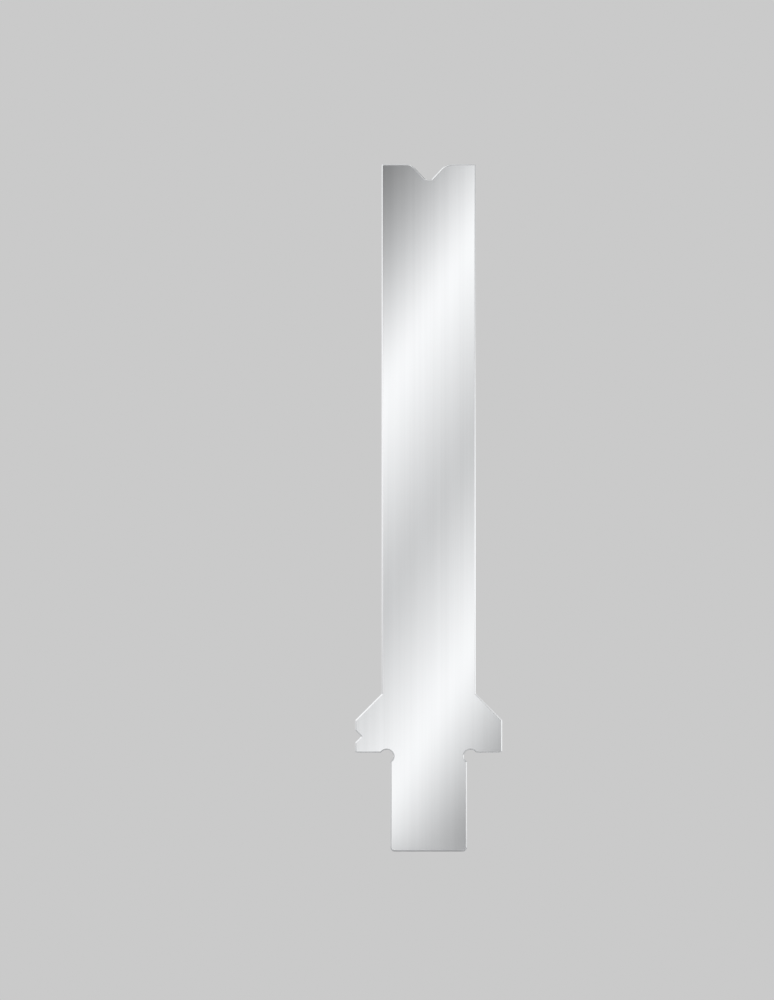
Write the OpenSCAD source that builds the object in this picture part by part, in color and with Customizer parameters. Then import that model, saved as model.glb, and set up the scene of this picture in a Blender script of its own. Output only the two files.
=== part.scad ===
// Press brake V die: one ground steel bar, drawn as its section and run along Y.
// X is across the V, Y is along the bend line and Z is up. The origin is at the
// middle of the tang's foot, and the notched side of the flange faces -X.

/* [Body] */
// Length along the bend line
die_length = 100; // [20:5:500]
// Height from the seat to the lands beside the V
body_height = 100; // [50:1:200]
// Width of the body
body_width = 16; // [15:0.5:22]

/* [V groove] */
// Opening, between the outer ends of the shoulder radii
v_opening = 8; // [7:0.5:12]
// Included angle of the flanks
v_angle = 86; // [70:1:90]
// Radius of each shoulder
shoulder_radius = 2.5; // [1:0.1:3]
// Radius of the root
root_radius = 1; // [0.5:0.1:1.2]

/* [Flange] */
// Width across the flange
flange_width = 25; // [24:0.5:40]
// Height of the flange's upright sides
flange_side = 5.5; // [4:0.5:12]
// Rise of the flange's slopes, from the horizontal
slope_angle = 45; // [30:1:60]

/* [Tang] */
// Width of the tang
tang_width = 13; // [10:0.5:16]
// Height of the tang, from its foot to the seat
tang_height = 16.8; // [10:0.1:30]
// Radius of the tang's foot corners
foot_radius = 0.7; // [0.2:0.1:2]

/* [Relief grooves] */
// Radius of the round groove in each corner of tang and seat
relief_radius = 1.15; // [0.8:0.05:1.5]
// Depth that a relief groove cuts into the tang and into the seat
relief_depth = 0.5; // [0.45:0.05:0.7]

/* [Locating notch] */
// Depth of the notch in the flange's side
notch_depth = 1.05; // [0.5:0.05:1.2]
// Included angle of the notch
notch_angle = 90; // [60:1:100]

/* [Hidden] */
$fn = 96;
// Extra length of a cut past the surface it starts from
overrun = 1;

seat_z = tang_height;
top_z = seat_z + body_height;

// Flank slope from the horizontal, and the length of a shoulder's tangents
flank_slope = 90 - v_angle / 2;
shoulder_tangent = shoulder_radius * tan(flank_slope / 2);

// The V is worked out from the middle of its mouth, level with the lands.
// Its flanks would run from a sharp edge at the land down to a sharp apex.
edge_x = v_opening / 2 - shoulder_tangent;
apex_z = -edge_x * tan(flank_slope);

// Centre of the root, and the height at which a shoulder takes over from its flank
root_z = apex_z + root_radius / cos(flank_slope);
shoulder_foot_z = -shoulder_tangent * sin(flank_slope);

// Hair's breadth by which a flank crosses into its shoulder and into the root,
// so that it runs into each of them without a step
flank_lap = 0.0001;
flank_foot = [0, root_z] + (root_radius - flank_lap) * [sin(flank_slope), -cos(flank_slope)];

slope_rise = (flange_width - body_width) / 2 * tan(slope_angle);

// Distance of a relief groove's centre out from the tang and down from the seat
relief_reach = relief_radius - relief_depth;

// The same shape on both sides of the middle
module both_sides() {
    children();
    mirror([1, 0]) children();
}

// Body, from the seat to the lands
module body_section() {
    translate([-body_width / 2, seat_z])
        square([body_width, body_height]);
}

// Flange with upright sides and slopes that run up to the body
module flange_section() {
    translate([0, seat_z])
        polygon([
            [-flange_width / 2, 0],
            [flange_width / 2, 0],
            [flange_width / 2, flange_side],
            [body_width / 2, flange_side + slope_rise],
            [-body_width / 2, flange_side + slope_rise],
            [-flange_width / 2, flange_side]
        ]);
}

// Tang, joined a little way into the body
module tang_section() {
    translate([-tang_width / 2, 0])
        square([tang_width, tang_height + overrun]);
}

// What rounding takes off an outer corner, with the round's centre at the origin
module corner_cut(radius) {
    difference() {
        translate([0, -radius - overrun])
            square([radius + overrun, radius + overrun]);
        circle(r = radius);
    }
}

// V with a rounded root and flanks that roll over rounded shoulders on to the lands
module v_cut() {
    translate([0, root_z])
        circle(r = root_radius);
    polygon([
        [-flank_foot[0], flank_foot[1]],
        flank_foot,
        [edge_x + flank_lap, 0],
        [-edge_x - flank_lap, 0]
    ]);
    difference() {
        translate([-v_opening / 2, shoulder_foot_z])
            square([v_opening, overrun - shoulder_foot_z]);
        both_sides()
            translate([v_opening / 2, -shoulder_radius])
                circle(r = shoulder_radius);
    }
}

// V notch in an upright side, with the mouth's middle at the origin
module notch_cut() {
    mouth_half = (notch_depth + overrun) * tan(notch_angle / 2);
    polygon([
        [notch_depth, 0],
        [-overrun, mouth_half],
        [-overrun, -mouth_half]
    ]);
}

module die_section() {
    difference() {
        union() {
            body_section();
            flange_section();
            tang_section();
        }
        translate([0, top_z])
            v_cut();
        both_sides() {
            translate([tang_width / 2 - foot_radius, foot_radius])
                corner_cut(foot_radius);
            translate([tang_width / 2 + relief_reach, seat_z - relief_reach])
                circle(r = relief_radius);
        }
        translate([-flange_width / 2, seat_z + flange_side / 2])
            notch_cut();
    }
}

module v_die() {
    color([0.82, 0.84, 0.85])
        rotate([90, 0, 0])
            linear_extrude(height = die_length, center = true)
                die_section();
}

v_die();
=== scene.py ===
"""Looks of a press brake V die: finely ground tool steel on a plain pale floor."""

import math
from itertools import accumulate

import bmesh
import bpy
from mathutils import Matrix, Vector


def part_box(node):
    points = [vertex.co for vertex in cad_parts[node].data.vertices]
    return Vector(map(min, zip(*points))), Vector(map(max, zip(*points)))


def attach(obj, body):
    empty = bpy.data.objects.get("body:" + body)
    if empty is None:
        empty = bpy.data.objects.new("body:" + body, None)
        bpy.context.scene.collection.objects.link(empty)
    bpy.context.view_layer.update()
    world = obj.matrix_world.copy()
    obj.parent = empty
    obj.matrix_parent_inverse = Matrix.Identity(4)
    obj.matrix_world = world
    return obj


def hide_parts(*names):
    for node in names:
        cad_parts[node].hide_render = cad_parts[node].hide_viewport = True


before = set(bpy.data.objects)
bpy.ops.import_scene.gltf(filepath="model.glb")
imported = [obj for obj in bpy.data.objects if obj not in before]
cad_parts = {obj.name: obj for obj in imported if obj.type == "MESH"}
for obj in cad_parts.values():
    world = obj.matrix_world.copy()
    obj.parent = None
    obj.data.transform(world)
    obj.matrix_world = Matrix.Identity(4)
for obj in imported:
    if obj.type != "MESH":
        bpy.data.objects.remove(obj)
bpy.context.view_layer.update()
low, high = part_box("v_die")

# Sizes of the die, in millimetres and degrees. MM turns them into metres for its mesh.
MM = 0.001
LENGTH = (high.y - low.y) / MM
TOP = high.z / MM
FLANGE_WIDTH = (high.x - low.x) / MM
BODY_WIDTH = 16
SEAT = 16.8
FLANGE_SIDE = 5.5
SLOPE_ANGLE = 45
TANG_WIDTH = 13
FOOT_RADIUS = 0.7
V_OPENING = 8
V_ANGLE = 86
SHOULDER_RADIUS = 2.5
ROOT_RADIUS = 1
RELIEF_RADIUS = 1.15
RELIEF_DEPTH = 0.5
NOTCH_DEPTH = 1.05
NOTCH_ANGLE = 90

# Light rounding of the long edges and of inner corners, and the ends' small chamfer
LONG_EDGE_RADIUS = 0.3
INNER_RADIUS = 0.12
END_CHAMFER = 0.2
CHAMFER_RADIUS = 0.08

# How many straight steps make each round. From 39 in a relief groove, the chamfer of the
# ends would fold where the groove starts.
FOOT_STEPS = 10
RELIEF_STEPS = 32
SHOULDER_STEPS = 16
ROOT_STEPS = 8
EDGE_STEPS = 4
CHAMFER_STEPS = 2

# Faces that meet at more than this many degrees keep a crisp edge between them
CRISP_ANGLE = 40

# The flat map of the die's faces: its name, and in millimetres the least width of a row of
# faces on it and the gaps round what lies on it
MAP_NAME = "OFBake"
LEAST_ROW = 0.6
MAP_GAP = 1.5

# The steel's colour, how many fine lines, broad lines and soft patches it has to the metre,
# and how many times longer than wide a line is
STEEL = (0.78, 0.79, 0.80)
FINE_LINES = 3000
BROAD_LINES = 900
LINE_STRETCH = 200
PATCHES = 30

# The span of the noise behind its lines and behind its patches, and how far they change
# its roughness and its tone
LINE_SPAN = (0.35, 0.65)
PATCH_SPAN = (0.3, 0.7)
LINE_ROUGHNESS = 0.01
PATCH_ROUGHNESS = 0.005
PATCH_TONE = 0.01

# The floor's size in metres, and where it starts and ends to fade away from the die
FLOOR_SIZE = 6
FLOOR_FADE = (0.3, 1.2)

# Shades of the floor, of the surroundings as they are seen, and of the light that they give
FLOOR_SHADE = 0.57
FLOOR_ROUGHNESS = 0.7
BACKGROUND = 0.59
AMBIENT = 0.72

# Each lamp's place and width in metres, and its watts
LAMPS = {
    "key": ((-0.45, -0.55, 0.75), 1.2, 3),
    "fill": ((0.6, -0.3, 0.55), 1.0, 1),
    "back": ((0.2, 0.7, 0.6), 1.0, 1),
}

# Cards that show only in reflections, in metres: their sizes, the height of their middles,
# and how far they stand from the die's ends and from the sides of its flange
END_CARD_SIZE = (0.08, 0.3)
SIDE_CARD_SIZE = (0.3, 0.36)
CARD_HEIGHT = 0.15
END_CARD_GAP = 0.02
SIDE_CARD_GAP = 0.06

# Two light bands on each card. Their places are in metres, measured across the bands: the
# dip between them lies at middle, on both sides of it the light rises to a crest and then
# falls to dark at its end, and the whole repeats. bright is the crest's strength, and dip
# and dark are shades beside it.
END_BANDS = {
    "middle": 0.028,
    "crest": 0.018,
    "end": 0.040,
    "repeat": 0.09,
    "dip": 0.715,
    "bright": 1.34,
    "dark": 0.35,
}
SIDE_BANDS = {
    "middle": 0.030,
    "crest": 0.035,
    "end": 0.080,
    "repeat": 0.20,
    "dip": 0.78,
    "bright": 1.20,
    "dark": 0.60,
}

# Degrees that the bands lean from upright, and the power that makes their shades look even
BAND_LEAN = 30
DISPLAY_GAMMA = 2.2

# The photograph's frame, and where it shows the die
PICTURE_HEIGHT = 1000
PIXELS_PER_MM = 5.885
MIDDLE_PIXEL = (387, 500)
AXIS_PIXEL_X = 428.7
SEAT_PIXEL_Y = 752.6

# How far the camera stands from the middle of the die, in metres
CAMERA_DISTANCE = 0.6


def arc(centre, radius, start, end, steps):
    """Points along an arc between two angles in degrees, both ends included."""
    turns = [math.radians(start + (end - start) * i / steps) for i in range(steps + 1)]
    return [Vector(centre) + Vector((math.cos(t), math.sin(t))) * radius for t in turns]


def rounded(points, outer_radius, inner_radius, steps):
    """A run of corners without its two end points, each corner given a small radius."""
    out = []
    for before, corner, after in zip(points, points[1:], points[2:]):
        back, on = (before - corner).normalized(), (after - corner).normalized()
        outer = back.x * on.y - back.y * on.x < 0
        radius = outer_radius if outer else inner_radius
        half = back.angle(on) / 2
        centre = corner + (back + on).normalized() * radius / math.sin(half)
        start = corner + back * radius / math.tan(half) - centre
        end = corner + on * radius / math.tan(half) - centre
        for i in range(steps + 1):
            out.append(centre + start.lerp(end, i / steps).normalized() * radius)
    return out


def mirrored(points):
    """The points mirrored to the other side of the middle, last one first."""
    return [Vector((-p.x, p.y)) for p in reversed(points)]


def section():
    """The whole outline, counter-clockwise, with the notch in its left side."""
    reach = RELIEF_RADIUS - RELIEF_DEPTH
    relief = (TANG_WIDTH / 2 + reach, SEAT - reach)
    bite = math.degrees(math.acos(reach / RELIEF_RADIUS))
    side_x = FLANGE_WIDTH / 2
    side_top = SEAT + FLANGE_SIDE
    rise = (side_x - BODY_WIDTH / 2) * math.tan(math.radians(SLOPE_ANGLE))

    slope = 90 - V_ANGLE / 2
    tangent = SHOULDER_RADIUS * math.tan(math.radians(slope / 2))
    apex = TOP - (V_OPENING / 2 - tangent) * math.tan(math.radians(slope))
    root_z = apex + ROOT_RADIUS / math.cos(math.radians(slope))
    shoulder = (V_OPENING / 2, TOP - SHOULDER_RADIUS)

    foot = (TANG_WIDTH / 2 - FOOT_RADIUS, FOOT_RADIUS)
    foot_arc = arc(foot, FOOT_RADIUS, -90, 0, FOOT_STEPS)
    relief_arc = arc(relief, RELIEF_RADIUS, 180 + bite, 90 - bite, RELIEF_STEPS)
    shoulder_arc = arc(shoulder, SHOULDER_RADIUS, 90, 90 + slope, SHOULDER_STEPS)
    root_arc = arc((0, root_z), ROOT_RADIUS, slope - 90, -90, ROOT_STEPS)
    corners = [
        relief_arc[-1],
        Vector((side_x, SEAT)),
        Vector((side_x, side_top)),
        Vector((BODY_WIDTH / 2, side_top + rise)),
        Vector((BODY_WIDTH / 2, TOP)),
        shoulder_arc[0],
    ]

    notch_z = SEAT + FLANGE_SIDE / 2
    mouth = NOTCH_DEPTH * math.tan(math.radians(NOTCH_ANGLE / 2))
    left_corners = mirrored(corners)
    left_corners[-2:-2] = [
        Vector((-side_x, notch_z + mouth)),
        Vector((-side_x + NOTCH_DEPTH, notch_z)),
        Vector((-side_x, notch_z - mouth)),
    ]
    right_side, left_side = (
        rounded(run, LONG_EDGE_RADIUS, INNER_RADIUS, EDGE_STEPS) for run in (corners, left_corners)
    )
    return (
        foot_arc + relief_arc + right_side + shoulder_arc + root_arc
        + mirrored(root_arc)[1:] + mirrored(shoulder_arc) + left_side
        + mirrored(relief_arc) + mirrored(foot_arc)
    )


def inset(outline, distance):
    """The closed outline moved inwards by that distance, with mitred corners."""
    out = []
    for i, point in enumerate(outline):
        before, after = outline[i - 1], outline[(i + 1) % len(outline)]
        a, b = (point - before).normalized(), (after - point).normalized()
        inward = Vector((-a.y, a.x))
        mitre = (inward + Vector((-b.y, b.x))).normalized()
        out.append(point + mitre * distance / mitre.dot(inward))
    return out


def die_rings():
    """Each ring of the die from the front end to the back, as (outline, y)."""
    outline = section()
    # From the end's face over its chamfer on to the flats, as distances in from the outline
    # and along the die
    corner = [
        Vector((END_CHAMFER * inwards, END_CHAMFER * deep))
        for inwards, deep in ((2, 0), (1, 0), (0, 1), (0, 2))
    ]
    chamfer = rounded(corner, CHAMFER_RADIUS, CHAMFER_RADIUS, CHAMFER_STEPS)
    front = [(inset(outline, p.x), p.y - LENGTH / 2) for p in chamfer]
    return front + [(ring, -y) for ring, y in reversed(front)]


def distances(places, least_step=0):
    """How far each of the places lies along the line through them, in millimetres. A step
    from one to the next counts as no less than least_step."""
    steps = (max((b - a).length / MM, least_step) for a, b in zip(places, places[1:]))
    return list(accumulate(steps, initial=0))


def lay_flat(bm, rings, ends, sides):
    """Gives each face its place on the flat map. The sides lie unrolled in two halves, one
    beside the other, and the ends lie above them. A face of sides comes with its row and its
    number in that row."""
    places = bm.loops.layers.uv.new(MAP_NAME)
    across = distances([ring[0].co for ring in rings], LEAST_ROW)
    # The rings on both sides of the long row are the whole outline
    outline = rings[len(rings) // 2]
    along = distances([vert.co for vert in outline + outline[:1]])
    half = next(j for j, reach in enumerate(along) if reach > along[-1] / 2)
    beside = Vector((across[-1] + MAP_GAP, -along[half]))
    spots = {}
    for face, row, j in sides:
        corners = ((row, j), (row + 1, j), (row + 1, j + 1), (row, j + 1))
        shift = beside if j >= half else Vector((0, 0))
        for loop, (r, i) in zip(face.loops, corners):
            spots[loop] = Vector((across[r], along[i])) + shift
    for n, face in enumerate(ends):
        middle = along[half] + MAP_GAP + FLANGE_WIDTH / 2 + n * (FLANGE_WIDTH + MAP_GAP)
        for loop in face.loops:
            spots[loop] = Vector((loop.vert.co.z / MM, middle + loop.vert.co.x / MM))
    size = max(max(spot) for spot in spots.values()) + 2 * MAP_GAP
    for loop, spot in spots.items():
        loop[places].uv = (spot + Vector((MAP_GAP, MAP_GAP))) / size


def die_mesh(materials):
    """A closed mesh through the rings. The materials are for its flats, ends, edges and V."""
    flat, end, edge, vee = range(4)
    bm = bmesh.new()
    rings = [
        [bm.verts.new((p.x * MM, y * MM, p.y * MM)) for p in ring] for ring, y in die_rings()
    ]
    ends = [bm.faces.new(ring) for ring in (rings[0], rings[-1][::-1])]
    for face in ends:
        face.material_index = end
    sides = []
    count = len(rings[0])
    # The row between the two chamfers runs the whole length of the die
    long_row = len(rings) // 2 - 1
    for row, (near, far) in enumerate(zip(rings, rings[1:])):
        for j in range(count):
            k = (j + 1) % count
            face = bm.faces.new((near[j], far[j], far[k], near[k]))
            sides.append((face, row, j))
            middle = face.calc_center_median() / MM
            in_vee = abs(middle.x) < V_OPENING / 2 and middle.z > TOP - V_OPENING / 2
            if row != long_row:
                face.material_index = edge
            else:
                face.material_index = vee if in_vee else flat
    for e in bm.edges:
        e.smooth = e.calc_face_angle(0) < math.radians(CRISP_ANGLE)
    for f in bm.faces:
        f.smooth = True
    lay_flat(bm, rings, ends, sides)
    mesh = bpy.data.meshes.new("v_die_ground")
    bm.to_mesh(mesh)
    bm.free()
    for material in materials:
        mesh.materials.append(material)
    return mesh


def die_piece(materials):
    """The die, with normals that take their direction from its widest faces."""
    piece = bpy.data.objects.new("v_die_ground", die_mesh(materials))
    bpy.context.scene.collection.objects.link(piece)
    normals = piece.modifiers.new("flat faces shade flat", "WEIGHTED_NORMAL")
    normals.keep_sharp = True
    normals.weight = 100
    return piece


class Nodes:
    """Makes and joins the nodes of one tree."""

    def __init__(self, tree):
        self.tree = tree
        tree.nodes.clear()

    def add(self, kind, settings=None, **inputs):
        """A new node. settings are its properties, and inputs its sockets by name."""
        node = self.tree.nodes.new(kind)
        for name, value in (settings or {}).items():
            setattr(node, name, value)
        for name, value in inputs.items():
            self.put(node.inputs[name.replace("_", " ")], value)
        return node

    def put(self, socket, value):
        """Links the socket to another node's output, or sets it to a plain value."""
        if isinstance(value, bpy.types.NodeSocket):
            self.tree.links.new(value, socket)
        else:
            socket.default_value = value

    def fill(self, node, values):
        """The node's outputs, once its first sockets have the values."""
        for socket, value in zip(node.inputs, values):
            self.put(socket, value)
        return node.outputs

    def math(self, operation, *values):
        return self.fill(self.add("ShaderNodeMath", {"operation": operation}), values)[0]

    def vector_math(self, operation, *values):
        """The outputs of a vector sum, which are its Vector and its Value."""
        return self.fill(self.add("ShaderNodeVectorMath", {"operation": operation}), values)

    def remap(self, value, low_in, high_in, low_out, high_out):
        sockets = (value, low_in, high_in, low_out, high_out)
        return self.fill(self.add("ShaderNodeMapRange"), sockets)[0]

    def about(self, noise, span, middle, change):
        """The noise, remapped from its span to that much change about the middle."""
        return self.remap(noise, *span, middle - change, middle + change)

    def mix(self, factor, first, second):
        """The first shader where the factor is 0 and the second where it is 1."""
        return self.fill(self.add("ShaderNodeMixShader"), (factor, first, second))[0]

    def noise(self, vector, scale):
        return self.add(
            "ShaderNodeTexNoise", Vector=vector, Scale=scale, Detail=1, Roughness=0.6
        ).outputs[0]

    def stretched(self, scale):
        """The piece's own coordinates in metres, scaled along each axis."""
        place = self.add("ShaderNodeTexCoord").outputs["Object"]
        return self.add("ShaderNodeMapping", Vector=place, Scale=scale).outputs[0]


def new_material(name):
    """A material, and the maker of its nodes."""
    material = bpy.data.materials.new(name)
    material.use_nodes = True
    return material, Nodes(material.node_tree)


def grey(shade):
    """A neutral colour of that shade."""
    return (shade, shade, shade, 1)


def steel(name, grain, roughness, grain_depth, contrast, painted_shine=1.0):
    """Ground steel. Its grinding lines run along the axis named by grain, are grain_depth
    millimetres deep, and change its tone by as much as contrast. Its last argument makes its
    colour brighter, as a painted shine."""
    material, n = new_material(name)
    along = [1.0, 1.0, 1.0]
    along["xyz".index(grain)] /= LINE_STRETCH
    lines = n.stretched(along)
    fine = n.noise(lines, FINE_LINES)
    broad = n.noise(lines, BROAD_LINES)
    patches = n.noise(n.stretched((1, 1, 1)), PATCHES)
    height = n.math("ADD", n.math("MULTIPLY", fine, 0.5), n.math("MULTIPLY", broad, 0.5))
    rough = n.math(
        "ADD",
        n.about(height, LINE_SPAN, roughness, LINE_ROUGHNESS),
        n.about(patches, PATCH_SPAN, 0, PATCH_ROUGHNESS),
    )
    tone = n.math(
        "ADD",
        n.about(height, LINE_SPAN, 1, contrast),
        n.about(patches, PATCH_SPAN, 0, PATCH_TONE),
    )
    # The last argument brightens the steel's colour itself: a painted shine
    colour = n.add(
        "ShaderNodeVectorMath", {"operation": "SCALE"}, Vector=Vector(STEEL) * painted_shine, Scale=tone
    )
    bump = n.add("ShaderNodeBump", Strength=1.0, Distance=grain_depth * MM, Height=height)
    shader = n.add(
        "ShaderNodeBsdfPrincipled",
        Base_Color=colour.outputs[0],
        Metallic=1.0,
        Roughness=rough,
        Normal=bump.outputs[0],
    )
    n.add("ShaderNodeOutputMaterial", Surface=shader.outputs[0])
    return material


def band_light(name, across, bands):
    """A light in two soft bright bands, with a dip between them and dark beyond."""
    material, n = new_material(name)
    place = n.add("ShaderNodeNewGeometry").outputs["Position"]
    reach = n.vector_math("DOT_PRODUCT", place, across)["Value"]
    distance = n.math("SUBTRACT", reach, bands["middle"])
    off_middle = n.math("PINGPONG", distance, bands["repeat"] / 2)
    rise = n.remap(off_middle, 0, bands["crest"], bands["dip"], 1)
    fall = n.remap(off_middle, bands["crest"], bands["end"], 1, bands["dark"])
    shade = n.math("POWER", n.math("MINIMUM", rise, fall), DISPLAY_GAMMA)
    level = n.math("MULTIPLY", shade, bands["bright"])
    light = n.add("ShaderNodeEmission", Color=grey(1), Strength=level)
    n.add("ShaderNodeOutputMaterial", Surface=light.outputs[0])
    return material


def band_card(name, x, y, size, bands):
    """A card at that place on the floor plan. It faces the die, and shows in reflections only."""
    centre = Vector((x, y, CARD_HEIGHT))
    facing = (Vector((0, 0, CARD_HEIGHT)) - centre).normalized()
    bpy.ops.mesh.primitive_plane_add(size=1, location=centre)
    card = bpy.context.object
    card.name = name
    card.scale = (*size, 1)
    card.rotation_euler = facing.to_track_quat("Z", "Y").to_euler()
    for ray in ("camera", "diffuse", "transmission", "volume_scatter", "shadow"):
        setattr(card, "visible_" + ray, False)
    upright = Vector((0, 0, 1))
    lean = math.radians(BAND_LEAN)
    across = upright.cross(facing) * math.cos(lean) + upright * math.sin(lean)
    card.data.materials.append(band_light(name, across, bands))


def cards():
    """A card off each end of the die and off each side of its flange."""
    end_y = LENGTH / 2 * MM + END_CARD_GAP
    side_x = FLANGE_WIDTH / 2 * MM + SIDE_CARD_GAP
    band_card("end_card_front", 0, -end_y, END_CARD_SIZE, END_BANDS)
    band_card("side_card_left", -side_x, 0, SIDE_CARD_SIZE, SIDE_BANDS)
    band_card("end_card_back", 0, end_y, END_CARD_SIZE, END_BANDS)
    band_card("side_card_right", side_x, 0, SIDE_CARD_SIZE, SIDE_BANDS)


def pale_floor():
    """A matt floor under the die that fades out into the surroundings."""
    bpy.ops.mesh.primitive_plane_add(size=FLOOR_SIZE, location=(0, 0, 0))
    floor = bpy.context.object
    floor.name = "floor"
    material, n = new_material("floor")
    place = n.add("ShaderNodeNewGeometry").outputs["Position"]
    faded = n.remap(n.vector_math("LENGTH", place)["Value"], *FLOOR_FADE, 0, 1)
    matt = n.add("ShaderNodeBsdfPrincipled", Base_Color=grey(FLOOR_SHADE), Roughness=FLOOR_ROUGHNESS)
    clear = n.add("ShaderNodeBsdfTransparent")
    mixed = n.mix(faded, matt.outputs[0], clear.outputs[0])
    n.add("ShaderNodeOutputMaterial", Surface=mixed)
    floor.data.materials.append(material)


def surroundings():
    """Soft light from all round, and the pale shade that shows there and in reflections."""
    world = bpy.data.worlds.new("studio")
    bpy.context.scene.world = world
    world.use_nodes = True
    n = Nodes(world.node_tree)
    rays = n.add("ShaderNodeLightPath").outputs
    seen = n.math("MAXIMUM", rays["Is Camera Ray"], rays["Is Glossy Ray"])
    seen = n.math("MAXIMUM", seen, rays["Is Transmission Ray"])
    ambient = n.add("ShaderNodeBackground", Color=grey(AMBIENT), Strength=1.0)
    shown = n.add("ShaderNodeBackground", Color=grey(BACKGROUND), Strength=1.0)
    mixed = n.mix(seen, ambient.outputs[0], shown.outputs[0])
    n.add("ShaderNodeOutputWorld", Surface=mixed)


def lamps():
    """Wide soft lamps, aimed at the middle of the die."""
    middle = Vector((0, 0, TOP * MM / 2))
    for name, (place, size, watts) in LAMPS.items():
        lamp = bpy.data.lights.new(name, "AREA")
        lamp.shape = "DISK"
        lamp.size = size
        lamp.energy = watts
        holder = bpy.data.objects.new(name, lamp)
        holder.location = place
        holder.rotation_euler = (middle - Vector(place)).to_track_quat("-Z", "Y").to_euler()
        bpy.context.scene.collection.objects.link(holder)


def camera():
    """A level, parallel view of the front end, framed as the photograph frames it."""
    data = bpy.data.cameras.new("camera")
    data.type = "ORTHO"
    data.ortho_scale = PICTURE_HEIGHT / PIXELS_PER_MM * MM
    holder = bpy.data.objects.new("camera", data)
    x = (MIDDLE_PIXEL[0] - AXIS_PIXEL_X) / PIXELS_PER_MM * MM
    z = (SEAT + (SEAT_PIXEL_Y - MIDDLE_PIXEL[1]) / PIXELS_PER_MM) * MM
    holder.location = (x, -CAMERA_DISTANCE, z)
    holder.rotation_euler = (math.pi / 2, 0, 0)
    bpy.context.scene.collection.objects.link(holder)
    bpy.context.scene.camera = holder


camera()
pale_floor()
surroundings()
lamps()
cards()
die = die_piece([
    steel("ground_flats", grain="y", roughness=0.30, grain_depth=0.002, contrast=0.04),
    steel("ground_ends", grain="z", roughness=0.29, grain_depth=0.0005, contrast=0.02),
    # The edges are burnished by wear, and their colour is also made brighter: a painted shine
    steel("burnished_edges_painted_shine", grain="y", roughness=0.20, grain_depth=0.0005, contrast=0.01, painted_shine=1.15),
    steel("polished_vee", grain="y", roughness=0.20, grain_depth=0.001, contrast=0.02),
])
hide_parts("v_die")
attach(die, "root")

bpy.context.scene.view_settings.view_transform = "Standard"
